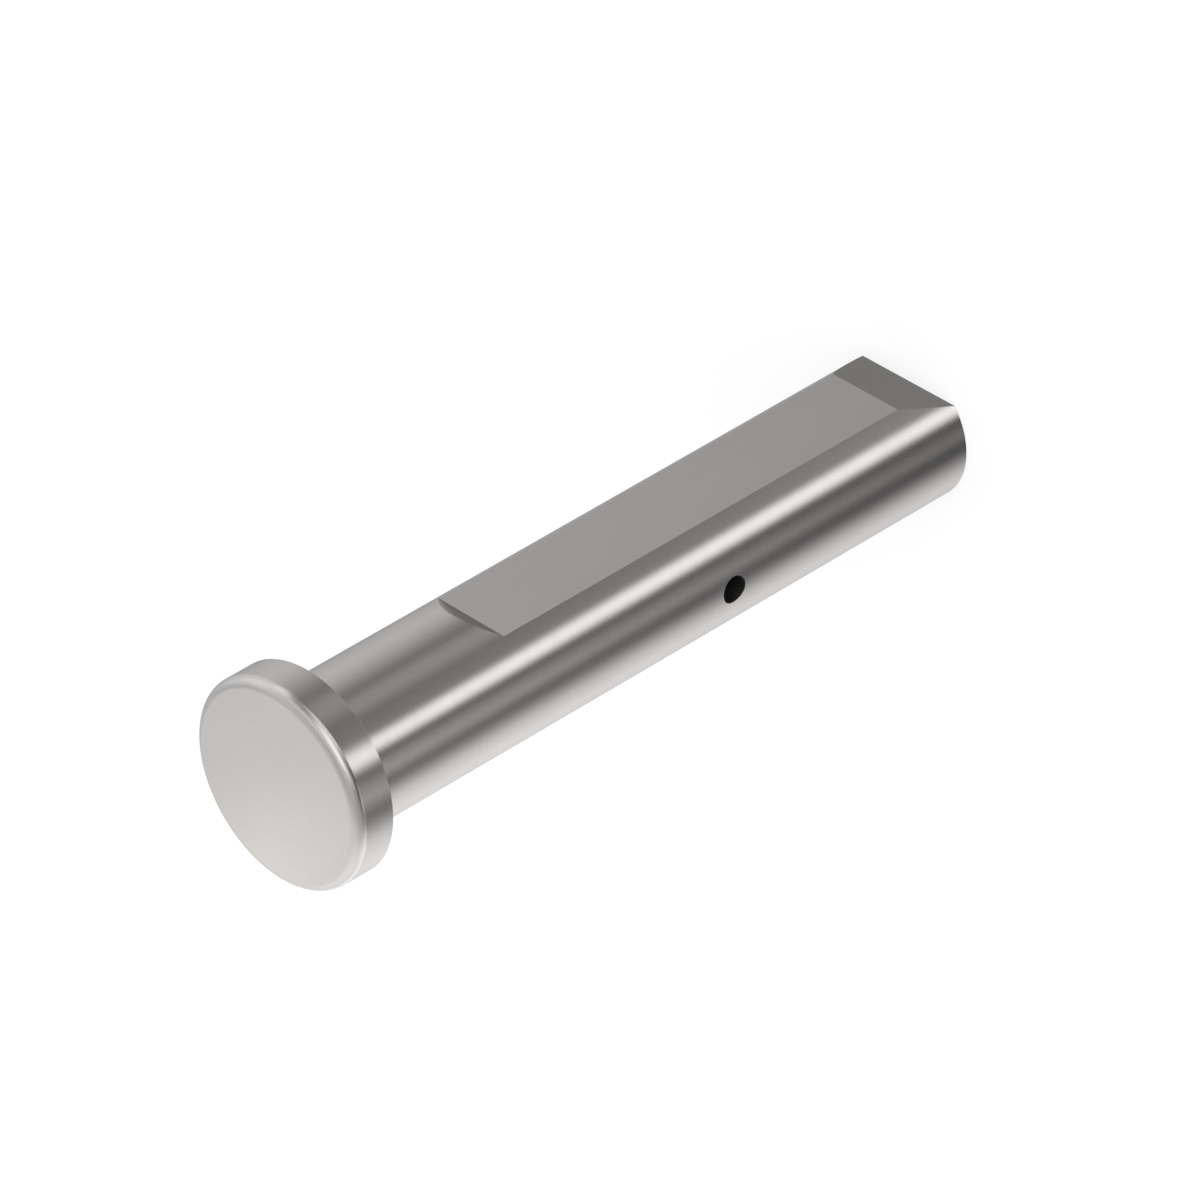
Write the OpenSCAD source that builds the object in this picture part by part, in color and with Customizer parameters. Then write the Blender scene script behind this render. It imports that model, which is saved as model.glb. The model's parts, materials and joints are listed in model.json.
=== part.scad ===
// Headed cam pin: one piece, turned from bar, with a flat milled along one side of its
// shank, a ramp at each end of the flat and a small hole drilled across it.
// The pin stands on its tip. +Z runs up its axis to the head, +X points out of the flat,
// and the origin is the middle of the tip. All sizes are in millimetres.

/* [Shank] */
// Diameter of the shank
shank_d = 12; // [8:0.1:16]
// Length of the shank, from the underside of the head to the tip
shank_len = 61.2; // [50:0.1:120]

/* [Head] */
// Diameter of the head
head_d = 16.8; // [16.4:0.1:30]
// Thickness of the head
head_t = 3.4; // [2:0.1:8]
// Radius of the rounding round the top edge of the head
head_edge_r = 0.85; // [0.2:0.05:1.8]

/* [Flat] */
// Depth of the flat below the round of the shank
flat_depth = 1; // [0.4:0.05:2]
// Distance from the underside of the head to the near end of the flat
flat_start = 15.9; // [8:0.1:30]
// Slope of the heel ramp, which leads out from the flat towards the head, in degrees
heel_angle = 30; // [20:1:60]
// Length of the nose ramp, which leads in from the flat to the tip, along the pin
nose_len = 4.7; // [1:0.1:8]
// Slope of the nose ramp, in degrees
nose_angle = 15; // [5:1:20]

/* [Cross hole] */
// Diameter of the hole across the shank
hole_d = 2.2; // [1:0.1:4]
// Distance from the underside of the head to the middle of the hole
hole_from_head = 36.7; // [12:0.1:45]

/* [Hidden] */
$fn = 128;
steel = [0.78, 0.77, 0.76];
shank_r = shank_d / 2;
head_r = head_d / 2;
// Distance of the flat from the pin's axis
flat_x = shank_r - flat_depth;
// How far a cutter runs past the surface that it cuts
overrun = 1;
// Where the seam of the turned surfaces runs, round from the flat in degrees
seam_angle = 67.5;

// Height above the tip of a point at this distance from the underside of the head
function height_at(from_head) = shank_len - from_head;

// Half section of the turned blank: radius along x, height along y
module turned_section() {
    face_r = head_r - head_edge_r;
    rim_len = head_t - head_edge_r;
    square([shank_r, shank_len + rim_len]);
    translate([0, shank_len]) square([head_r, rim_len]);
    translate([0, shank_len]) square([face_r, head_t]);
    translate([face_r, shank_len + rim_len]) circle(r = head_edge_r);
}

// Shank and head as they leave the lathe
module turned_blank() {
    rotate([0, 0, seam_angle]) rotate_extrude() turned_section();
}

// What the milling cutter takes off, seen from the side: heel ramp, flat and nose ramp
module flat_cut() {
    outer_x = shank_r + overrun;
    heel_z = height_at(flat_start);
    heel_rise = (outer_x - flat_x) / tan(heel_angle);
    nose_x = flat_x - (nose_len + overrun) * tan(nose_angle);
    rotate([90, 0, 0])
        linear_extrude(height = shank_d + 2 * overrun, center = true)
            polygon([
                [outer_x, heel_z + heel_rise],
                [flat_x, heel_z],
                [flat_x, nose_len],
                [nose_x, -overrun],
                [outer_x, -overrun]
            ]);
}

// The drill's way through the shank's axis, parallel to the flat
module cross_hole_cut() {
    translate([0, 0, height_at(hole_from_head)])
        rotate([90, 0, 0])
            cylinder(d = hole_d, h = shank_d + 2 * overrun, center = true);
}

// The finished pin
module cam_pin() {
    color(steel)
        difference() {
            turned_blank();
            flat_cut();
            cross_hole_cut();
        }
}

cam_pin();
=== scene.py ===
"""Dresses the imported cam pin: its machined steel, edge by edge, on a plain pale floor in soft studio light.

The pin stands on its tip, as it is packed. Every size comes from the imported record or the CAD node's box,
apart from the few that neither holds, which are named fields of PinSizes. Lengths are in metres.
"""

import json
import logging
import math
from dataclasses import dataclass, field
from enum import Enum

import bpy
from mathutils import Matrix, Vector


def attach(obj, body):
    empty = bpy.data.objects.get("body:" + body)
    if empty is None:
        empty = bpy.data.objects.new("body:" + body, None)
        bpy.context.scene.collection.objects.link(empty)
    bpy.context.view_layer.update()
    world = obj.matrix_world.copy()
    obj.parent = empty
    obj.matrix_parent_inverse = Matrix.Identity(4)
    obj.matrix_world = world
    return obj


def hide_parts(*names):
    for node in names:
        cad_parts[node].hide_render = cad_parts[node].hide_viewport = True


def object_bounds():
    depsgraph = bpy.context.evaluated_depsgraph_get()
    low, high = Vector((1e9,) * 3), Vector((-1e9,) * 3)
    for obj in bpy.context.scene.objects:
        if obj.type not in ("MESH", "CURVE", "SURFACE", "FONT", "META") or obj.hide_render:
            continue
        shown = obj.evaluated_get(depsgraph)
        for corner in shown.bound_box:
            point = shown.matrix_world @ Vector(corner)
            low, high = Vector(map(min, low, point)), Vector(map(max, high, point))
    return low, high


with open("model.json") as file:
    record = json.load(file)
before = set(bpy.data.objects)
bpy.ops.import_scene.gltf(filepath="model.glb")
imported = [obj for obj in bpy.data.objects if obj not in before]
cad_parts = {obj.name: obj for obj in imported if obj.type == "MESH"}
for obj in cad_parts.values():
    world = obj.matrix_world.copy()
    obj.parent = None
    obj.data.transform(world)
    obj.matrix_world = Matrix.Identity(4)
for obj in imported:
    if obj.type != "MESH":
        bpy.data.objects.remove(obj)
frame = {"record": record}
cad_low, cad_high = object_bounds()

log = logging.getLogger("cam_pin")

MM = 0.001
MICRON = 0.000001
NODE = "cam_pin"
BODY = "root"
WEAR = "edge_wear"
# The share of a soft patch's light that is left at its own half width.
LEFT_AT_WIDTH = 1.0 / math.e


class Finish(Enum):
    """How a surface of the pin was cut, in the order of the mesh's material slots."""

    TURNED = 0
    FACED = 1
    MILLED = 2
    DRILLED = 3


class Mouth(Enum):
    """The cross hole's two mouths, by the side of the pin that they are on."""

    PLUS_Y = 1
    MINUS_Y = 2


def mount(name: str) -> dict:
    """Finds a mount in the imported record.

    Args:
        name: The mount's name in the record.

    Returns:
        The mount as the record writes it.
    """
    return next(m for m in frame["record"]["mounts"] if m["name"] == name)


@dataclass(frozen=True)
class PinSizes:
    """The pin's sizes, from its mounts and its box where these hold them."""

    shank_r: float = mount("shank")["dims"]["r_mm"] * MM
    shoulder_z: float = mount("shank")["pos_m"][2]
    flat_x: float = mount("cam_flat")["pos_m"][0]
    hole_r: float = mount("cross_hole")["dims"]["r_mm"] * MM
    hole_z: float = mount("cross_hole")["pos_m"][2]
    head_r: float = cad_high.x
    head_z: float = cad_high.z
    head_edge_r: float = 0.85 * MM
    heel_from_shoulder: float = 15.9 * MM
    heel_angle: float = math.radians(30)
    nose_len: float = 4.7 * MM
    nose_angle: float = math.radians(15)

    @property
    def heel_z(self) -> float:
        """Height at which the flat ends and the heel ramp starts."""
        return self.shoulder_z - self.heel_from_shoulder

    @property
    def heel_top_z(self) -> float:
        """Height at which the heel ramp runs out of the round of the shank."""
        return self.heel_z + (self.shank_r - self.flat_x) / math.tan(self.heel_angle)

    def cut_x(self, z: float) -> float:
        """Gives how far the milled surface is from the axis.

        Args:
            z: Height above the tip.

        Returns:
            The milled surface's distance from the axis at that height.
        """
        if z > self.heel_z:
            return self.flat_x + (z - self.heel_z) * math.tan(self.heel_angle)
        if z < self.nose_len:
            return self.flat_x - (self.nose_len - z) * math.tan(self.nose_angle)
        return self.flat_x

    def cut_normal(self, z: float) -> Vector:
        """Gives the direction that the milled surface faces.

        Args:
            z: Height above the tip.

        Returns:
            The milled surface's normal at that height.
        """
        if z > self.heel_z:
            return Vector((math.cos(self.heel_angle), 0, -math.sin(self.heel_angle)))
        if z < self.nose_len:
            return Vector((math.cos(self.nose_angle), 0, -math.sin(self.nose_angle)))
        return Vector((1, 0, 0))


@dataclass
class MeshDraft:
    """A mesh while it is put together: points with their normals and wear, and faces with their finish."""

    points: list[Vector] = field(default_factory=list)
    normals: list[Vector] = field(default_factory=list)
    wear: list[float] = field(default_factory=list)
    faces: list[list[int]] = field(default_factory=list)
    finishes: list[Finish] = field(default_factory=list)

    def point(self, place: Vector, normal: Vector, wear: float = 0.0) -> int:
        """Adds a point.

        Args:
            place: Where the point is.
            normal: The direction that the surface faces there.
            wear: How much handling has polished it, from 0 to 1.

        Returns:
            The point's number.
        """
        self.points.append(place)
        self.normals.append(normal.normalized())
        self.wear.append(wear)
        return len(self.points) - 1

    def face(self, corners: list[int], finish: Finish) -> None:
        """Adds a face, turned to the side that its points' normals say.

        Args:
            corners: The numbers of its points in order. Repeats are dropped, and what is left of a face
                with fewer than three points isn't added.
            finish: How the surface was cut.
        """
        loop = [c for k, c in enumerate(corners) if c != corners[k - 1]]
        if len(set(loop)) < 3:
            return
        middle = sum((self.points[c] for c in loop), Vector()) / len(loop)
        turned = Vector()
        for k, c in enumerate(loop):
            turned += (self.points[loop[k - 1]] - middle).cross(self.points[c] - middle)
        faces_out = turned.dot(sum((self.normals[c] for c in loop), Vector())) > 0
        self.faces.append(loop if faces_out else loop[::-1])
        self.finishes.append(finish)

    def band(self, low: list[int], high: list[int], finish: Finish) -> None:
        """Joins two closed rings of as many points with a band of quads.

        Args:
            low: One ring's points.
            high: The other ring's points, in the same order.
            finish: How the surface was cut.
        """
        for k in range(len(low)):
            self.face([low[k - 1], low[k], high[k], high[k - 1]], finish)

    def to_object(self, name: str) -> bpy.types.Object:
        """Makes the Blender object, smooth shaded with the normals of its points.

        Args:
            name: The object's name.

        Returns:
            The object, linked to the scene.
        """
        mesh = bpy.data.meshes.new(name)
        mesh.from_pydata(self.points, [], self.faces)
        mesh.polygons.foreach_set("material_index", [f.value for f in self.finishes])
        mesh.polygons.foreach_set("use_smooth", [True] * len(self.faces))
        worn = mesh.attributes.new(WEAR, "FLOAT", "POINT")
        worn.data.foreach_set("value", self.wear)
        mesh.normals_split_custom_set_from_vertices(self.normals)
        mesh.validate()
        made = bpy.data.objects.new(name, mesh)
        bpy.context.scene.collection.objects.link(made)
        return made


@dataclass
class CamPin:
    """The pin's mesh: every surface of the solid, with its edges broken as a deburred pin's are.

    The breaks are the radii of the broken edges, the steps and cells count how finely a surface is divided,
    and the shares say how far along a surface its rings stand.
    """

    sizes: PinSizes = field(default_factory=PinSizes)
    draft: MeshDraft = field(default_factory=MeshDraft)
    edge_break: float = 0.05 * MM
    head_break: float = 0.025 * MM
    flat_break: float = 0.016 * MM
    flat_break_share: float = 0.25
    hole_break: float = 0.03 * MM
    head_wear: float = 0.4
    flat_wear: float = 0.5
    hole_wear: float = 0.3
    root_fillet: float = 0.15 * MM
    quarter_steps: int = 60
    chord_steps: int = 24
    ramp_steps: int = 16
    apex_step: float = 0.2
    break_steps: int = 3
    edge_steps: int = 24
    hole_rows: int = 26
    hole_patch: float = 1.8
    hole_cells_to_flat: int = 20
    hole_cells_to_back: int = 13
    hole_shares: tuple[float, ...] = (0.6, 0.3, 0.12, 0.04, 0.0)
    tip_shares: tuple[float, ...] = (0.97, 0.8, 0.5, 0.2)
    neck_shares: tuple[float, ...] = (0.02, 0.3, 0.6, 0.9)
    rim_shares: tuple[float, ...] = (0.05, 0.5, 0.95)
    face_shares: tuple[float, ...] = (0.99, 0.8, 0.5, 0.2)

    def build(self) -> bpy.types.Object:
        """Builds the whole pin as one closed mesh.

        Returns:
            The pin's object.
        """
        rings = self.tip_rings() + [self.ring(z) for z in self.shank_levels()]
        self.tip_face(rings[0])
        self.skin(rings)
        self.head(rings[-1])
        return self.draft.to_object("pin_body")

    def bearing(self, column: int, start: float) -> float:
        """Gives the bearing of a column of points on the round of the shank.

        Args:
            column: Counted from the flat's edge round to its other edge.
            start: Bearing of the flat's edge, from +X.

        Returns:
            The column's bearing from +X. The columns at the cross hole and on the back stay straight.
        """
        steps = self.quarter_steps
        if column <= steps:
            return start + (math.pi / 2 - start) * column / steps
        if column <= 3 * steps:
            return math.pi / 2 * column / steps
        return math.tau - self.bearing(4 * steps - column, start)

    def ring(self, z: float, inset: float = 0.0, tilt: float = 0.0, worn: float = 0.0) -> list[int]:
        """Adds the points of one level of the shank.

        Args:
            z: The level's height above the tip.
            inset: How far the outline is drawn in, for the broken edge round the tip.
            tilt: How far the normals turn towards the tip there, in radians.
            worn: The wear of all of the level's points.

        Returns:
            The ring's points: the round from one edge of the flat to the other, then the flat back. Where
            the shank is whole, the flat's entries all repeat the first point.
        """
        s = self.sizes
        radius = s.shank_r - inset
        cut_x = min(s.cut_x(z) - inset, radius)
        half_chord = math.sqrt(max(radius**2 - cut_x**2, 0.0))
        cut_normal = self.tilted(s.cut_normal(z), tilt)
        if half_chord < self.flat_break:
            rounds = self.round_ring(radius, z)
            # In place of the last point of the round, the flat's points and its two corners.
            repeats = 1 + (self.chord_steps + 1) + 2
            return rounds + [rounds[0]] * repeats
        soft = min(self.flat_break, half_chord * self.flat_break_share)
        start = math.atan2(half_chord, cut_x) + soft / radius
        beside_edge = max(worn, self.flat_wear / 2)
        rounds = []
        for column in range(self.turned_columns + 1):
            out = self.direction(self.bearing(column, start))
            at_edge = column in (0, self.turned_columns)
            rounds.append(self.draft.point(out * radius + Vector((0, 0, z)), self.tilted(out, tilt),
                                           beside_edge if at_edge else worn))
        chord = []
        for step in range(self.chord_steps + 1):
            y = (half_chord - soft) * (2 * step / self.chord_steps - 1)
            at_edge = step in (0, self.chord_steps)
            chord.append(self.draft.point(Vector((cut_x, y, z)), cut_normal,
                                          beside_edge if at_edge else worn))
        corners = []
        for near_round, near_chord, side in ((rounds[-1], chord[0], -1), (rounds[0], chord[-1], 1)):
            sharp = Vector((cut_x, side * half_chord, z))
            place = (self.draft.points[near_round] + self.draft.points[near_chord] + 2 * sharp) / 4
            normal = self.draft.normals[near_round] + self.draft.normals[near_chord]
            corners.append(self.draft.point(place, normal, max(worn, self.flat_wear)))
        return rounds + [corners[0]] + chord + [corners[1]]

    def round_ring(self, radius: float, z: float, lift: float = 0.0, worn: float = 0.0) -> list[int]:
        """Adds the points of a level where the pin is whole.

        Args:
            radius: The level's radius.
            z: Its height above the tip.
            lift: The normals' angle up from level, in radians.
            worn: The wear of its points.

        Returns:
            The ring's points.
        """
        ring = []
        for column in range(self.turned_columns):
            out = self.direction(self.bearing(column, 0.0))
            ring.append(self.draft.point(out * radius + Vector((0, 0, z)), self.tilted(out, -lift), worn))
        return ring

    @staticmethod
    def direction(bearing: float) -> Vector:
        """Gives the level direction at a bearing from +X."""
        return Vector((math.cos(bearing), math.sin(bearing), 0))

    @staticmethod
    def tilted(normal: Vector, tilt: float) -> Vector:
        """Turns a normal towards the tip by an angle in radians."""
        return normal * math.cos(tilt) + Vector((0, 0, -1)) * math.sin(tilt)

    def tip_rings(self) -> list[list[int]]:
        """Adds the broken edge round the tip, from the end face up.

        Returns:
            Its rings, lowest first.
        """
        rings = []
        for step in range(self.break_steps + 1):
            turn = math.pi / 2 * (1 - step / self.break_steps)
            inset = self.edge_break * (1 - math.cos(turn))
            z = self.edge_break * (1 - math.sin(turn))
            rings.append(self.ring(z, inset, turn, self.flat_wear))
        return rings

    def shank_levels(self) -> list[float]:
        """Works out the heights of the shank's rings above the broken edge of the tip.

        Returns:
            The heights, lowest first. The ramps' levels are spaced evenly round the shank.
        """
        s = self.sizes
        flat_turn = math.acos(s.flat_x / s.shank_r)
        nose_turn = math.acos(s.cut_x(0.0) / s.shank_r)
        levels = []
        for step in range(1, self.ramp_steps):
            turn = nose_turn + (flat_turn - nose_turn) * step / self.ramp_steps
            levels.append(s.nose_len - (s.flat_x - s.shank_r * math.cos(turn)) / math.tan(s.nose_angle))
        for edge in (s.nose_len, s.heel_z):
            levels += [edge - self.flat_break, edge + self.flat_break]
        for row in range(self.hole_rows + 1):
            levels.append(s.hole_z + self.hole_half * (2 * row / self.hole_rows - 1))
        for step in (*range(1, self.ramp_steps), self.ramp_steps - self.apex_step, self.ramp_steps):
            turn = flat_turn * (1 - step / self.ramp_steps)
            levels.append(s.heel_z + (s.shank_r * math.cos(turn) - s.flat_x) / math.tan(s.heel_angle))
        return sorted(levels)

    @property
    def hole_half(self) -> float:
        """Half the height of the patch of finer rings that holds a mouth of the cross hole."""
        return self.hole_patch * self.sizes.hole_r

    @property
    def turned_columns(self) -> int:
        """How many columns of quads go round the shank, without those on the flat."""
        return 4 * self.quarter_steps

    def in_patch(self, column: int, low: list[int], high: list[int]) -> Mouth | None:
        """Tells whether a quad of the shank lies in the patch round a mouth of the cross hole.

        Args:
            column: The quad's column.
            low: The quad's lower ring.
            high: The quad's upper ring.

        Returns:
            The mouth, or None if the quad lies in neither patch.
        """
        s = self.sizes
        middle = (self.draft.points[low[0]].z + self.draft.points[high[0]].z) / 2
        if abs(middle - s.hole_z) > self.hole_half:
            return None
        quarter = self.quarter_steps
        if quarter - self.hole_cells_to_flat <= column < quarter + self.hole_cells_to_back:
            return Mouth.PLUS_Y
        if 3 * quarter - self.hole_cells_to_back <= column < 3 * quarter + self.hole_cells_to_flat:
            return Mouth.MINUS_Y
        return None

    def skin(self, rings: list[list[int]]) -> None:
        """Joins the shank's rings round the cross hole's mouths, and adds the hole.

        Args:
            rings: The rings, lowest first.
        """
        edges = {mouth: {} for mouth in Mouth}
        for low, high in zip(rings, rings[1:]):
            for k in range(len(low)):
                after = (k + 1) % len(low)
                corners = [low[k], low[after], high[after], high[k]]
                mouth = self.in_patch(k, low, high)
                if mouth:
                    self.note_edges(edges[mouth], corners)
                    continue
                self.draft.face(corners, Finish.TURNED if k < self.turned_columns else Finish.MILLED)
        walls = [self.hole_mouth(self.patch_loop(edges[mouth])) for mouth in Mouth]
        self.draft.band(walls[0], walls[1], Finish.DRILLED)

    @staticmethod
    def note_edges(edges: dict[int, set[int]], corners: list[int]) -> None:
        """Keeps the edges that a left-out quad doesn't share with another left-out one.

        Args:
            edges: The edges so far, by their two points in the quad's order.
            corners: The quad's four points.
        """
        for k in range(4):
            start, end = corners[k - 1], corners[k]
            if edges.get(end) and start in edges[end]:
                edges[end].remove(start)
            else:
                edges.setdefault(start, set()).add(end)

    def patch_loop(self, edges: dict[int, set[int]]) -> list[int]:
        """Puts the points on the edge of a patch in order.

        Args:
            edges: The patch's outer edges, as note_edges() keeps them.

        Returns:
            The patch's outline, ordered by bearing round the hole.
        """
        ring = [point for point, ends in edges.items() if ends]
        return sorted(ring, key=self.mouth_bearing)

    def mouth_bearing(self, point: int) -> float:
        """Gives a point's bearing round the cross hole, seen along it."""
        place = self.draft.points[point]
        return math.atan2(place.z - self.sizes.hole_z, place.x)

    def hole_mouth(self, outline: list[int]) -> list[int]:
        """Fills a patch up to the cross hole and breaks the hole's edge.

        Args:
            outline: The patch's outline.

        Returns:
            The ring where the hole's wall starts.
        """
        s = self.sizes
        side = math.copysign(1.0, self.draft.points[outline[0]].y)
        rim_r = s.hole_r + self.hole_break
        before = outline
        for share in self.hole_shares:
            ring = []
            for point in outline:
                turn = self.mouth_bearing(point)
                far = self.draft.points[point]
                x = rim_r * math.cos(turn) * (1 - share) + far.x * share
                z = rim_r * math.sin(turn) * (1 - share) + (far.z - s.hole_z) * share
                out = Vector((x, side * math.sqrt(s.shank_r**2 - x**2), 0)) / s.shank_r
                ring.append(self.draft.point(out * s.shank_r + Vector((0, 0, s.hole_z + z)), out,
                                             self.hole_wear / 2 if share == 0 else 0.0))
            self.draft.band(before, ring, Finish.TURNED)
            before = ring
        for step in range(1, self.break_steps + 1):
            turn = math.pi / 2 * step / self.break_steps
            radius = rim_r - self.hole_break * math.sin(turn)
            depth = self.hole_break * (1 - math.cos(turn))
            ring = []
            for point in outline:
                bearing = self.mouth_bearing(point)
                x, z = radius * math.cos(bearing), radius * math.sin(bearing)
                y = side * (math.sqrt(s.shank_r**2 - x**2) - depth)
                out = Vector((x, y, 0)).normalized()
                inwards = Vector((-math.cos(bearing), 0, -math.sin(bearing)))
                ring.append(self.draft.point(Vector((x, y, s.hole_z + z)),
                                             out * math.cos(turn) + inwards * math.sin(turn),
                                             self.hole_wear if step < self.break_steps else 0.0))
            self.draft.band(before, ring, Finish.DRILLED)
            before = ring
        return before

    def tip_face(self, outline: list[int]) -> None:
        """Closes the pin's lower end.

        Args:
            outline: The lowest ring.
        """
        down = Vector((0, 0, -1))
        before = outline
        for share in self.tip_shares:
            ring = []
            for point in outline:
                place = self.draft.points[point]
                ring.append(self.draft.point(Vector((place.x * share, place.y * share, 0)), down))
            self.draft.band(before, ring, Finish.FACED)
            before = ring
        middle = self.draft.point(Vector(), down)
        self.draft.band(before, [middle] * len(before), Finish.FACED)

    def head_profile(self) -> list[tuple[float, float, float, float, Finish]]:
        """Works out the head's section, from the top of the heel ramp to near the middle of its face.

        Returns:
            For each ring its radius, height, the normal's angle up from level, wear, and the finish of
            the band below it.
        """
        s = self.sizes
        rows = []
        gap = s.shoulder_z - self.root_fillet - s.heel_top_z
        for share in self.neck_shares:
            rows.append((s.shank_r, s.heel_top_z + gap * share, 0.0, 0.0, Finish.TURNED))
        quarter = math.pi / 2
        for step in range(2 * self.break_steps + 1):
            turn = quarter * step / (2 * self.break_steps)
            rows.append((s.shank_r + self.root_fillet * (1 - math.cos(turn)),
                         s.shoulder_z - self.root_fillet * (1 - math.sin(turn)),
                         -turn, 0.0, Finish.TURNED))
        for step in range(self.break_steps + 1):
            turn = quarter * step / self.break_steps
            worn = self.head_wear if 0 < step < self.break_steps else self.head_wear / 2
            rows.append((s.head_r - self.head_break * (1 - math.sin(turn)),
                         s.shoulder_z + self.head_break * (1 - math.cos(turn)),
                         turn - quarter, worn, Finish.FACED))
        rim_top = s.head_z - s.head_edge_r
        rim = rim_top - s.shoulder_z - self.head_break
        for share in self.rim_shares:
            rows.append((s.head_r, rim_top - rim * (1 - share), 0.0, 0.0, Finish.TURNED))
        for step in range(self.edge_steps + 1):
            turn = quarter * step / self.edge_steps
            rows.append((s.head_r - s.head_edge_r * (1 - math.cos(turn)),
                         rim_top + s.head_edge_r * math.sin(turn), turn, 0.0, Finish.TURNED))
        for share in self.face_shares:
            rows.append(((s.head_r - s.head_edge_r) * share, s.head_z, quarter, 0.0, Finish.FACED))
        return rows

    def head(self, below: list[int]) -> None:
        """Adds the whole shank above the heel ramp, and the head.

        Args:
            below: The ring at the top of the heel ramp.
        """
        before = below[:self.turned_columns]
        for radius, z, lift, worn, finish in self.head_profile():
            ring = self.round_ring(radius, z, lift, worn)
            self.draft.band(before, ring, finish)
            before = ring
        middle = self.draft.point(Vector((0, 0, self.sizes.head_z)), Vector((0, 0, 1)))
        self.draft.band(before, [middle] * len(before), Finish.FACED)


class NodeSheet:
    """Lays out and joins shader nodes in a material, a world or a group."""

    def __init__(self, tree: bpy.types.NodeTree) -> None:
        """Starts an empty sheet.

        Args:
            tree: The node tree to fill.
        """
        self.tree = tree
        tree.nodes.clear()

    def add(self, kind: str, **settings: object) -> bpy.types.Node:
        """Adds a node.

        Args:
            kind: The node's type, without the word ShaderNode.
            settings: Its properties by name.

        Returns:
            The node.
        """
        node = self.tree.nodes.new("ShaderNode" + kind)
        for name, value in settings.items():
            setattr(node, name, value)
        return node

    def link(self, source: object, target: object) -> None:
        """Joins an output to an input, or sets the input.

        Args:
            source: The output, or a plain value.
            target: The input.
        """
        if isinstance(source, bpy.types.NodeSocket):
            self.tree.links.new(source, target)
        else:
            target.default_value = source

    def math(self, operation: str, *values: object) -> bpy.types.NodeSocket:
        """Adds a Math node.

        Args:
            operation: The node's operation.
            values: Its inputs in order, sockets or numbers.

        Returns:
            Its output.
        """
        node = self.add("Math", operation=operation)
        for k, value in enumerate(values):
            self.link(value, node.inputs[k])
        return node.outputs[0]

    def vector(self, operation: str, *values: object) -> bpy.types.Node:
        """Adds a Vector Math node.

        Args:
            operation: The node's operation.
            values: Its inputs in order, sockets or vectors.

        Returns:
            The node.
        """
        node = self.add("VectorMath", operation=operation)
        for k, value in enumerate(values):
            self.link(value, node.inputs[k])
        return node

    def mix_shaders(self, share: object, first: bpy.types.NodeSocket,
                    second: bpy.types.NodeSocket) -> bpy.types.NodeSocket:
        """Mixes two shaders.

        Args:
            share: How much of the second shader is in the mix.
            first: The first shader.
            second: The second shader.

        Returns:
            The mixed shader.
        """
        node = self.add("MixShader")
        for k, value in enumerate((share, first, second)):
            self.link(value, node.inputs[k])
        return node.outputs[0]

    def group(self, tree: bpy.types.NodeTree, **values: object) -> bpy.types.Node:
        """Places a node group.

        Args:
            tree: The group.
            values: Its inputs by name, with _ for a space, sockets or numbers.

        Returns:
            The group's node.
        """
        node = self.add("Group", node_tree=tree)
        for name, value in values.items():
            self.link(value, node.inputs[name.replace("_", " ")])
        return node


def new_group(name: str, inputs: dict[str, str], outputs: dict[str, str]) -> bpy.types.NodeTree:
    """Makes an empty shader node group.

    Args:
        name: The group's name.
        inputs: The kind of each input by its name, Float, Vector or Color.
        outputs: The kind of each output by its name.

    Returns:
        The group.
    """
    tree = bpy.data.node_groups.new(name, "ShaderNodeTree")
    for in_out, sockets in (("INPUT", inputs), ("OUTPUT", outputs)):
        for socket, kind in sockets.items():
            tree.interface.new_socket(socket, in_out=in_out, socket_type="NodeSocket" + kind)
    return tree


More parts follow.
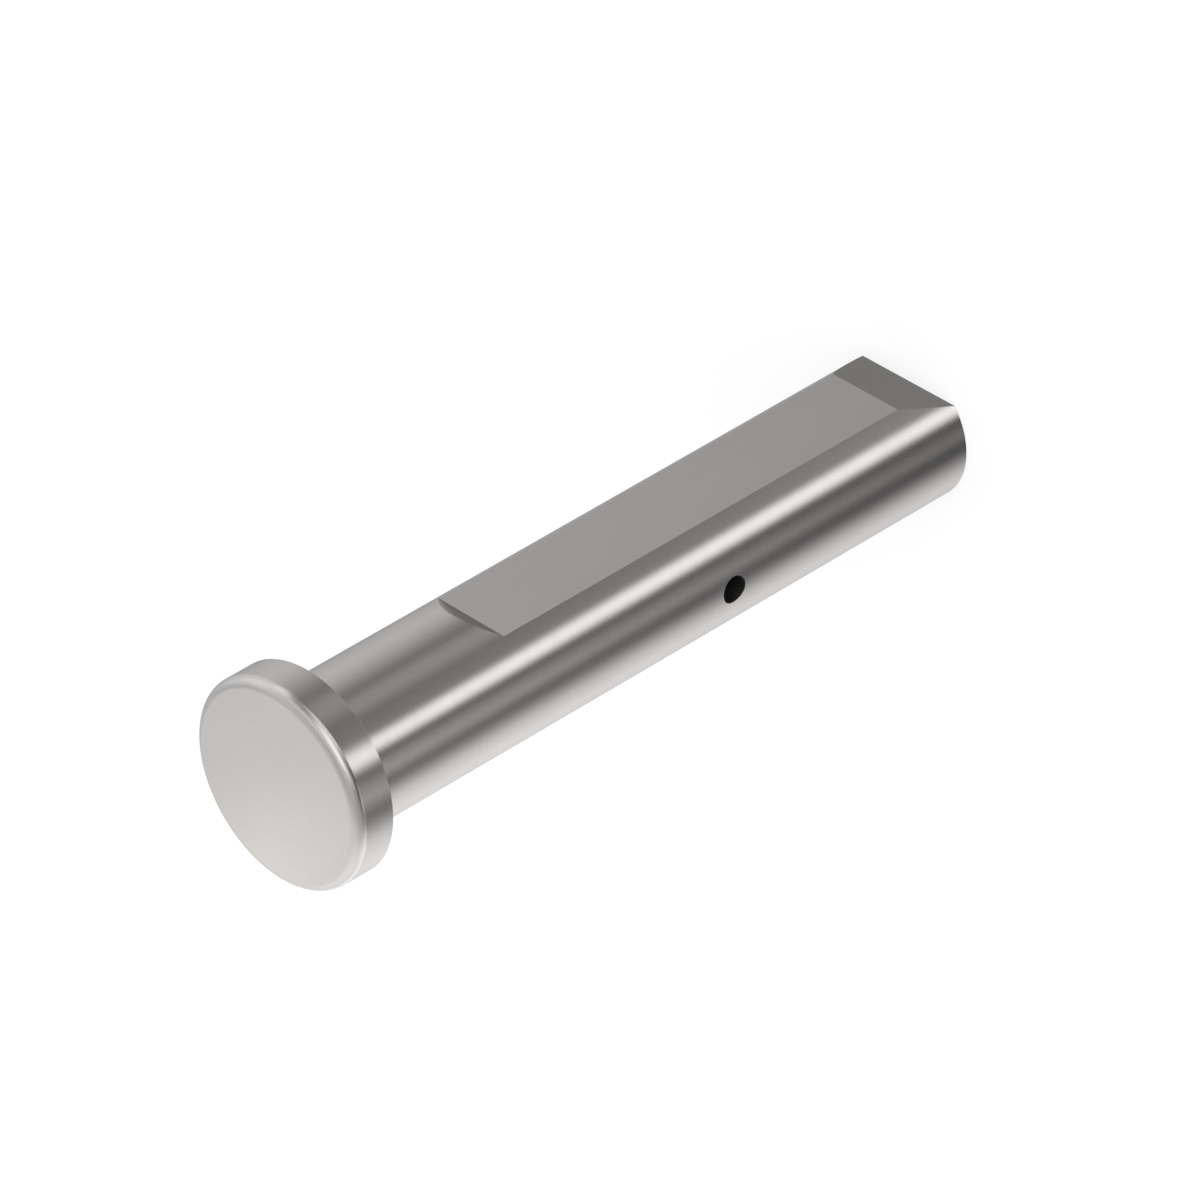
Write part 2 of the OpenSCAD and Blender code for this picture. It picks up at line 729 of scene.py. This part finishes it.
class SteelGroups:
    """The node groups that all of the pin's finishes share."""

    MARK_LAYERS = ((1.0, 0.65), (0.31, 0.35))
    MARK_DETAIL = 1.0
    CLOUD_DETAIL = 3.0

    def __init__(self) -> None:
        """Builds each group once."""
        self.tool_marks = self.make_tool_marks()
        self.clouding = self.make_clouding()
        self.edge_polish = self.make_edge_polish()

    @staticmethod
    def ends(tree: bpy.types.NodeTree) -> tuple[NodeSheet, bpy.types.Node, bpy.types.Node]:
        """Starts a group's sheet.

        Args:
            tree: The group.

        Returns:
            Its sheet, its input node and its output node.
        """
        sheet = NodeSheet(tree)
        start = tree.nodes.new("NodeGroupInput")
        end = tree.nodes.new("NodeGroupOutput")
        return sheet, start, end

    def make_tool_marks(self) -> bpy.types.NodeTree:
        """Makes the fine lines that a cutting tool leaves, in layers of a spacing and a share.

        Returns:
            A group that takes a place across the marks, the place along them, their pitch and how far one
            runs, in millimetres, and gives their height, about 0.5, and the last layer's as a tone.
        """
        tree = new_group("tool_marks", {"Across": "Float", "Place": "Vector", "Pitch": "Float",
                                        "Run": "Float"}, {"Height": "Float", "Tone": "Float"})
        sheet, start, end = self.ends(tree)
        across = sheet.math("DIVIDE", start.outputs["Across"], start.outputs["Pitch"])
        along = sheet.vector("DIVIDE", start.outputs["Place"], start.outputs["Run"]).outputs[0]
        heights = []
        for spacing, share in self.MARK_LAYERS:
            noise = sheet.add("TexNoise", noise_dimensions="4D", normalize=True)
            sheet.link(along, noise.inputs["Vector"])
            sheet.link(sheet.math("MULTIPLY", across, spacing), noise.inputs["W"])
            noise.inputs["Scale"].default_value = 1.0
            noise.inputs["Detail"].default_value = self.MARK_DETAIL
            heights.append(sheet.math("MULTIPLY", noise.outputs["Fac"], share))
        sheet.link(sheet.math("ADD", *heights), end.inputs["Height"])
        sheet.link(heights[-1], end.inputs["Tone"])
        return tree

    def make_clouding(self) -> bpy.types.NodeTree:
        """Makes the slow, faint change of tone that bare steel has from handling and cleaning.

        Returns:
            A group that takes a place in millimetres and a size, and gives a tone about 0.5.
        """
        tree = new_group("clouding", {"Place": "Vector", "Size": "Float"}, {"Tone": "Float"})
        sheet, start, end = self.ends(tree)
        noise = sheet.add("TexNoise", normalize=True)
        scaled = sheet.vector("DIVIDE", start.outputs["Place"], start.outputs["Size"]).outputs[0]
        sheet.link(scaled, noise.inputs["Vector"])
        noise.inputs["Scale"].default_value = 1.0
        noise.inputs["Detail"].default_value = self.CLOUD_DETAIL
        sheet.link(noise.outputs["Fac"], end.inputs["Tone"])
        return tree

    def make_edge_polish(self) -> bpy.types.NodeTree:
        """Makes the brighter, smoother line that wear leaves along an edge.

        Returns:
            A group that takes a colour, a roughness, the wear and a tone that breaks it up, and gives the
            colour and roughness with the wear in them.
        """
        tree = new_group("edge_polish",
                         {"Color": "Color", "Roughness": "Float", "Wear": "Float", "Tone": "Float",
                          "Bright": "Color", "Smooth": "Float"},
                         {"Color": "Color", "Roughness": "Float"})
        sheet, start, end = self.ends(tree)
        worn = sheet.math("MULTIPLY", start.outputs["Wear"], start.outputs["Tone"])
        mix = sheet.add("MixRGB", blend_type="MIX")
        sheet.link(worn, mix.inputs["Fac"])
        sheet.link(start.outputs["Color"], mix.inputs["Color1"])
        sheet.link(start.outputs["Bright"], mix.inputs["Color2"])
        sheet.link(mix.outputs["Color"], end.inputs["Color"])
        drop = sheet.math("SUBTRACT", start.outputs["Roughness"], start.outputs["Smooth"])
        change = sheet.math("MULTIPLY", drop, worn)
        sheet.link(sheet.math("SUBTRACT", start.outputs["Roughness"], change), end.inputs["Roughness"])
        return tree


class Lay(Enum):
    """Which way the tool's marks run on a surface."""

    ROUND_THE_PIN = "spaced along the pin's axis"
    ROUND_THE_CENTRE = "spaced out from the pin's axis"
    ALONG_THE_PIN = "spaced across the flat"
    ROUND_THE_HOLE = "spaced along the cross hole"


@dataclass(frozen=True)
class SteelFinish:
    """One finish of the bare steel: how a tool cut it and how it has been smoothed since.

    The shares say how strongly the tone, the clouding and the roughness vary. The grazing share is how much
    of the light the steel mirrors at grazing angles.
    """

    name: str
    lay: Lay
    color: tuple[float, float, float]
    roughness: float
    pitch_mm: float
    depth_um: float
    run_mm: float = 6.0
    tone_share: float = 0.05
    cloud_mm: float = 9.0
    cloud_share: float = 0.03
    rough_share: float = 2.0
    worn_color: tuple[float, float, float] = (0.72, 0.705, 0.69)
    worn_roughness: float = 0.14
    grazing_share: float = 0.88
    to_millimetres: float = 1.0 / MM

    def across(self, sheet: NodeSheet, place: bpy.types.NodeSocket) -> bpy.types.NodeSocket:
        """Gives the coordinate along which the marks are spaced.

        Args:
            sheet: The material's sheet.
            place: The place on the pin in millimetres.

        Returns:
            The coordinate, in millimetres.
        """
        sides = sheet.add("SeparateXYZ")
        sheet.link(place, sides.inputs[0])
        if self.lay is Lay.ROUND_THE_CENTRE:
            x, y = sides.outputs["X"], sides.outputs["Y"]
            return sheet.math("SQRT", sheet.math("ADD", sheet.math("MULTIPLY", x, x),
                                                 sheet.math("MULTIPLY", y, y)))
        return sides.outputs["Z" if self.lay is Lay.ROUND_THE_PIN else "Y"]

    def along(self, sheet: NodeSheet, place: bpy.types.NodeSocket) -> bpy.types.NodeSocket:
        """Gives the place without the coordinate along which the marks are spaced.

        Args:
            sheet: The material's sheet.
            place: The place on the pin in millimetres.

        Returns:
            The place with that coordinate at 0.
        """
        kept = {Lay.ROUND_THE_PIN: (1, 1, 0), Lay.ROUND_THE_CENTRE: (1, 1, 0),
                Lay.ALONG_THE_PIN: (1, 0, 1), Lay.ROUND_THE_HOLE: (1, 0, 1)}[self.lay]
        return sheet.vector("MULTIPLY", place, kept).outputs[0]

    def material(self, groups: SteelGroups) -> bpy.types.Material:
        """Makes the finish as a material.

        Args:
            groups: The node groups that the finishes share.

        Returns:
            The material.
        """
        made = bpy.data.materials.new(self.name)
        made.use_nodes = True
        sheet = NodeSheet(made.node_tree)
        output = sheet.add("OutputMaterial")
        steel = sheet.add("BsdfPrincipled")
        sheet.link(steel.outputs["BSDF"], output.inputs["Surface"])
        steel.inputs["Metallic"].default_value = 1.0
        grazing = (self.grazing_share, self.grazing_share, self.grazing_share, 1.0)
        steel.inputs["Specular Tint"].default_value = grazing
        metres = sheet.add("TexCoord").outputs["Object"]
        place = sheet.vector("MULTIPLY", metres, (self.to_millimetres,) * 3).outputs[0]
        marks = sheet.group(groups.tool_marks, Across=self.across(sheet, place),
                            Place=self.along(sheet, place), Pitch=self.pitch_mm, Run=self.run_mm)
        clouds = sheet.group(groups.clouding, Place=place, Size=self.cloud_mm)
        tone = self.tone(sheet, marks.outputs["Tone"], clouds.outputs["Tone"])
        color = sheet.vector("MULTIPLY", self.color, self.grey(sheet, tone)).outputs[0]
        rough = sheet.math("MULTIPLY_ADD", sheet.math("SUBTRACT", 1.0, tone),
                           self.rough_share * self.roughness, self.roughness)
        wear = sheet.add("Attribute", attribute_name=WEAR)
        polish = sheet.group(groups.edge_polish, Color=color, Roughness=rough, Wear=wear.outputs["Fac"],
                             Tone=clouds.outputs["Tone"], Bright=(*self.worn_color, 1.0),
                             Smooth=self.worn_roughness)
        sheet.link(polish.outputs["Color"], steel.inputs["Base Color"])
        sheet.link(polish.outputs["Roughness"], steel.inputs["Roughness"])
        bump = sheet.add("Bump")
        bump.inputs["Distance"].default_value = self.depth_um * MICRON
        sheet.link(marks.outputs["Height"], bump.inputs["Height"])
        sheet.link(bump.outputs["Normal"], steel.inputs["Normal"])
        return made

    def tone(self, sheet: NodeSheet, marks: bpy.types.NodeSocket,
             clouds: bpy.types.NodeSocket) -> bpy.types.NodeSocket:
        """Adds up what the marks and the clouding do to the tone.

        Args:
            sheet: The material's sheet.
            marks: The marks' tone, about 0.5.
            clouds: The clouding's tone, about 0.5.

        Returns:
            A factor about 1.
        """
        shares = [sheet.math("MULTIPLY", sheet.math("SUBTRACT", value, 0.5), 2 * share)
                  for value, share in ((marks, self.tone_share), (clouds, self.cloud_share))]
        return sheet.math("ADD", sheet.math("ADD", 1.0, shares[0]), shares[1])

    @staticmethod
    def grey(sheet: NodeSheet, value: bpy.types.NodeSocket) -> bpy.types.NodeSocket:
        """Turns a number into a grey.

        Args:
            sheet: The material's sheet.
            value: The number.

        Returns:
            A vector that holds the number three times.
        """
        node = sheet.add("CombineXYZ")
        for socket in node.inputs:
            sheet.link(value, socket)
        return node.outputs[0]


FINISHES = {
    Finish.TURNED: SteelFinish("turned_steel", Lay.ROUND_THE_PIN, (0.634, 0.614, 0.599), 0.2,
                               pitch_mm=0.11, depth_um=1.2),
    Finish.FACED: SteelFinish("faced_steel", Lay.ROUND_THE_CENTRE, (0.628, 0.608, 0.593), 0.2,
                              pitch_mm=0.12, depth_um=0.9),
    Finish.MILLED: SteelFinish("milled_steel", Lay.ALONG_THE_PIN, (0.63, 0.611, 0.596), 0.21,
                               pitch_mm=0.14, depth_um=1.2, run_mm=9.0),
    # The bore's steel is coloured far darker than the rest: painted shade for the dim inside of the cross
    # hole.
    Finish.DRILLED: SteelFinish("drilled_steel", Lay.ROUND_THE_HOLE, (0.16, 0.157, 0.154), 0.45,
                                pitch_mm=0.15, depth_um=2.0),
}


AMBER = (1.08, 1.0, 0.93)
WARM = (1.012, 1.0, 0.993)
COOL = (0.993, 1.0, 1.01)


@dataclass(frozen=True)
class SoftBox:
    """A large soft patch of light, or with a strength below 0 a dark flag, far off round the pin.

    Its bearing, its elevation and its half width and height are in degrees. Bearing 0 is towards -Y, and
    90 is towards +X.
    """

    name: str
    bearing: float
    elevation: float
    width: float
    height: float
    strength: float
    tint: tuple[float, float, float] = (1.0, 1.0, 1.0)

    def light(self) -> Vector:
        """Gives the colour that the patch adds at its middle."""
        return Vector(self.tint) * self.strength

    def ways(self) -> tuple[Vector, Vector, Vector]:
        """Works out how the patch lies.

        Returns:
            The way to its middle, and the ways across and up it, scaled to give 1 at its half width and
            height.
        """
        turn, lift = math.radians(self.bearing), math.radians(self.elevation)
        centre = Vector((math.sin(turn) * math.cos(lift), -math.cos(turn) * math.cos(lift),
                         math.sin(lift)))
        across = Vector((math.cos(turn), math.sin(turn), 0))
        upward = centre.cross(across)
        return (centre, across / math.sin(math.radians(self.width)),
                upward / math.sin(math.radians(self.height)))


@dataclass(frozen=True)
class GlowCard:
    """A warm card close behind the head, which only steel sees: it shades the head's face across."""

    place: tuple[float, float, float] = (-42 * MM, 33 * MM, 93.5 * MM)
    facing: tuple[float, float, float] = (1.0, -1.0, -1.0)
    reach: float = 6 * MM
    edge: float = 18 * MM
    corners: int = 64
    strength: float = 0.4
    tint: tuple[float, float, float] = (1.1, 1.0, 0.9)

    def build(self) -> None:
        """Adds the card as a part of the stage."""
        turn = Vector(self.facing).to_track_quat("Z", "Y").to_euler()
        bpy.ops.mesh.primitive_circle_add(vertices=self.corners, radius=self.edge, fill_type="NGON",
                                          location=self.place, rotation=turn)
        card = bpy.context.object
        card.name = "glow_card"
        card.visible_camera = False
        card.visible_diffuse = False
        card.visible_shadow = False
        card.data.materials.append(self.material())

    def material(self) -> bpy.types.Material:
        """Makes a glow that fades from the card's middle and hides nothing behind it.

        Returns:
            The material.
        """
        made = bpy.data.materials.new("card_glow")
        made.use_nodes = True
        made.cycles.emission_sampling = "NONE"
        sheet = NodeSheet(made.node_tree)
        output = sheet.add("OutputMaterial")
        across = sheet.vector("SCALE", sheet.add("TexCoord").outputs["Object"])
        across.inputs["Scale"].default_value = 1.0 / self.reach
        spread = sheet.vector("DOT_PRODUCT", across.outputs[0], across.outputs[0]).outputs["Value"]
        glow = sheet.add("Emission")
        glow.inputs["Color"].default_value = (*self.tint, 1.0)
        fall = sheet.math("POWER", LEFT_AT_WIDTH, spread)
        sheet.link(sheet.math("MULTIPLY", fall, self.strength), glow.inputs["Strength"])
        both = sheet.add("AddShader")
        sheet.link(glow.outputs[0], both.inputs[0])
        sheet.link(sheet.add("BsdfTransparent").outputs[0], both.inputs[1])
        sheet.link(both.outputs[0], output.inputs["Surface"])
        return made


@dataclass
class Studio:
    """The plain floor, the lamp that throws the shadow, and what the steel mirrors round it.

    lit_share is how much of the floor's tone is light on it, and crisp how sharply a patch ends.
    """

    floor_radius: float = 4.0
    floor_corners: int = 96
    floor_drop: float = 0.02 * MM
    floor_white: tuple[float, float, float] = (0.9, 0.9, 0.9)
    lit_share: float = 0.3
    lamp_size: float = 0.9
    lamp_place: tuple[float, float, float] = (0.35, -0.45, 1.2)
    lamp_power: float = 6.0
    ambient: float = 0.1
    card: GlowCard = GlowCard()
    daylight: float = 1.0
    crisp: float = 2.0
    boxes: tuple[SoftBox, ...] = (
        SoftBox("key", 50, 27, 28, 17, 1.2),
        SoftBox("left of the key", 20, 12, 20, 18, 0.3),
        SoftBox("under the key", 68, -4, 27, 18, 0.87),
        SoftBox("over the key", 60, 55, 50, 18, 0.35),
        SoftBox("bright strip", 28.5, -36, 9, 8, 1.7, WARM),
        SoftBox("faint strip", 88, -36, 12, 8, 0.28),
        SoftBox("corner", 45, -17, 18, 12, 0.42),
        SoftBox("low corner", 57, -48, 18, 10, 0.6),
        SoftBox("low front", 354, -27, 15, 10, 0.54),
        SoftBox("tall strip", 122, 2, 10, 26, 0.48),
        SoftBox("back wall", 160, 0, 47, 55, 0.8),
        SoftBox("side wall", 267, 6, 57, 52, 0.94, COOL),
        SoftBox("low side", 268, -26, 48, 17, 0.48, WARM),
        SoftBox("far side", 309, -14, 19, 24, 0.36),
        SoftBox("overhead", 0, 90, 75, 75, 0.41),
        SoftBox("from below", 0, -90, 29, 29, 0.75),
        SoftBox("back flag", 190, 15, 20, 36, -0.22, AMBER),
        SoftBox("low flag", 150, -51, 30, 13, -0.23),
        SoftBox("front flag", 335, -48, 24, 11, -0.45),
        SoftBox("side flag", 280, -49, 32, 12, -0.18),
    )

    def build(self) -> None:
        """Adds the floor, the lamp, the card and the world."""
        self.add_floor()
        self.add_lamp()
        self.card.build()
        self.light_world()

    def add_floor(self) -> None:
        """Adds a round pale floor under the pin, seen as white, with the pin's shadow on it."""
        bpy.ops.mesh.primitive_circle_add(vertices=self.floor_corners, radius=self.floor_radius,
                                          fill_type="NGON", location=(0, 0, -self.floor_drop))
        floor = bpy.context.object
        floor.name = "floor"
        floor.visible_glossy = False
        floor.visible_shadow = False
        floor.data.materials.append(self.floor_material())

    def floor_material(self) -> bpy.types.Material:
        """Makes the floor's white. From below the floor isn't seen.

        Returns:
            The material.
        """
        made = bpy.data.materials.new("pale_floor")
        made.use_nodes = True
        sheet = NodeSheet(made.node_tree)
        output = sheet.add("OutputMaterial")
        matt = sheet.add("BsdfDiffuse")
        matt.inputs["Color"].default_value = (*self.floor_white, 1.0)
        white = sheet.add("Emission")
        rays = sheet.add("LightPath")
        share = sheet.math("MULTIPLY", self.sees_white(sheet, rays), 1.0 - self.lit_share)
        lit = sheet.mix_shaders(share, matt.outputs[0], white.outputs[0])
        clear = sheet.add("BsdfTransparent")
        side = sheet.add("NewGeometry")
        seen = sheet.mix_shaders(side.outputs["Backfacing"], lit, clear.outputs[0])
        sheet.link(seen, output.inputs["Surface"])
        return made

    @staticmethod
    def sees_white(sheet: NodeSheet, rays: bpy.types.Node) -> bpy.types.NodeSocket:
        """Tells whether a ray comes straight from the camera or through something clear."""
        return sheet.math("MAXIMUM", rays.outputs["Is Camera Ray"], rays.outputs["Is Transmission Ray"])

    def add_lamp(self) -> None:
        """Adds the large soft lamp that throws the pin's shadow."""
        data = bpy.data.lights.new("overhead", "AREA")
        data.shape = "DISK"
        data.size = self.lamp_size
        data.energy = self.lamp_power
        lamp = bpy.data.objects.new("overhead", data)
        lamp.location = self.lamp_place
        lamp.rotation_euler = (-Vector(self.lamp_place)).to_track_quat("-Z", "Y").to_euler()
        lamp.visible_glossy = False
        bpy.context.scene.collection.objects.link(lamp)

    def soft_patch(self) -> bpy.types.NodeTree:
        """Makes the shape of one soft patch: even in its middle, with a soft edge.

        Returns:
            A group that takes a direction, the patch's own ways and strength, and the light so far, and
            gives the light with the patch in it.
        """
        tree = new_group("soft_patch",
                         {"Direction": "Vector", "Centre": "Vector", "Across": "Vector",
                          "Upward": "Vector", "Strength": "Vector", "Before": "Vector"},
                         {"Light": "Vector"})
        sheet, start, end = SteelGroups.ends(tree)
        ahead, off, up = (sheet.vector("DOT_PRODUCT", start.outputs["Direction"],
                                       start.outputs[way]).outputs["Value"]
                          for way in ("Centre", "Across", "Upward"))
        spread = sheet.math("MULTIPLY_ADD", up, up, sheet.math("MULTIPLY", off, off))
        fall = sheet.math("POWER", LEFT_AT_WIDTH, sheet.math("POWER", spread, self.crisp))
        seen = sheet.math("MULTIPLY", fall, sheet.math("GREATER_THAN", ahead, 0.0))
        added = sheet.vector("SCALE", start.outputs["Strength"])
        sheet.link(seen, added.inputs["Scale"])
        total = sheet.vector("ADD", added.outputs[0], start.outputs["Before"])
        sheet.link(total.outputs[0], end.inputs["Light"])
        return tree

    def light_world(self) -> None:
        """Sets the world: white to the camera, even light for matt surfaces, the patches for steel."""
        world = bpy.data.worlds.new("studio")
        bpy.context.scene.world = world
        world.use_nodes = True
        world.cycles.sampling_method = "NONE"
        sheet = NodeSheet(world.node_tree)
        output = sheet.add("OutputWorld")
        direction = sheet.add("TexCoord").outputs["Generated"]
        patch = self.soft_patch()
        total = (self.ambient,) * 3
        for box in self.boxes:
            centre, across, upward = box.ways()
            placed = sheet.group(patch, Direction=direction, Centre=centre, Across=across, Upward=upward,
                                 Strength=box.light(), Before=total)
            placed.label = box.name
            total = placed.outputs["Light"]
        mirrored, even, white = (sheet.add("Background") for _ in range(3))
        for background in (mirrored, even, white):
            background.inputs["Color"].default_value = (1, 1, 1, 1)
        sheet.link(sheet.vector("MAXIMUM", total, (0, 0, 0)).outputs[0], mirrored.inputs["Color"])
        even.inputs["Strength"].default_value = self.daylight
        rays = sheet.add("LightPath")
        lit = sheet.mix_shaders(rays.outputs["Is Diffuse Ray"], mirrored.outputs[0], even.outputs[0])
        seen = sheet.mix_shaders(self.sees_white(sheet, rays), lit, white.outputs[0])
        sheet.link(seen, output.inputs["Surface"])


@dataclass
class PhotoCamera:
    """The camera at the photograph's viewing angle, rolled so that the pin lies as it does there."""

    distance: float = 719.05 * MM
    lens: float = 298.26
    sensor: float = 36.0
    nearest: float = 0.1
    farthest: float = 20.0

    def build(self) -> None:
        """Adds the camera and makes it the scene's own."""
        back = Vector((1, -1, 1)).normalized()
        up = Vector((2, 1, -1)).normalized()
        right = up.cross(back)
        data = bpy.data.cameras.new("camera")
        data.lens = self.lens
        data.sensor_width = self.sensor
        data.clip_start = self.nearest
        data.clip_end = self.farthest
        camera = bpy.data.objects.new("camera", data)
        place = (cad_low + cad_high) / 2 + back * self.distance
        camera.matrix_world = Matrix.Translation(place) @ Matrix((right, up, back)).transposed().to_4x4()
        bpy.context.scene.collection.objects.link(camera)
        bpy.context.scene.camera = camera


def main() -> None:
    """Builds the stage and the pin, dresses the pin and reports each piece."""
    logging.basicConfig(level=logging.INFO, format="%(name)s: %(message)s")
    bpy.context.scene.view_settings.view_transform = "Standard"
    PhotoCamera().build()
    Studio().build()
    pin = CamPin().build()
    groups = SteelGroups()
    for finish in Finish:
        pin.data.materials.append(FINISHES[finish].material(groups))
    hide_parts(NODE)
    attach(pin, BODY)
    log.info("%s: %d faces in %d finishes", pin.name, len(pin.data.polygons), len(Finish))


if __name__ == "__main__":
    main()
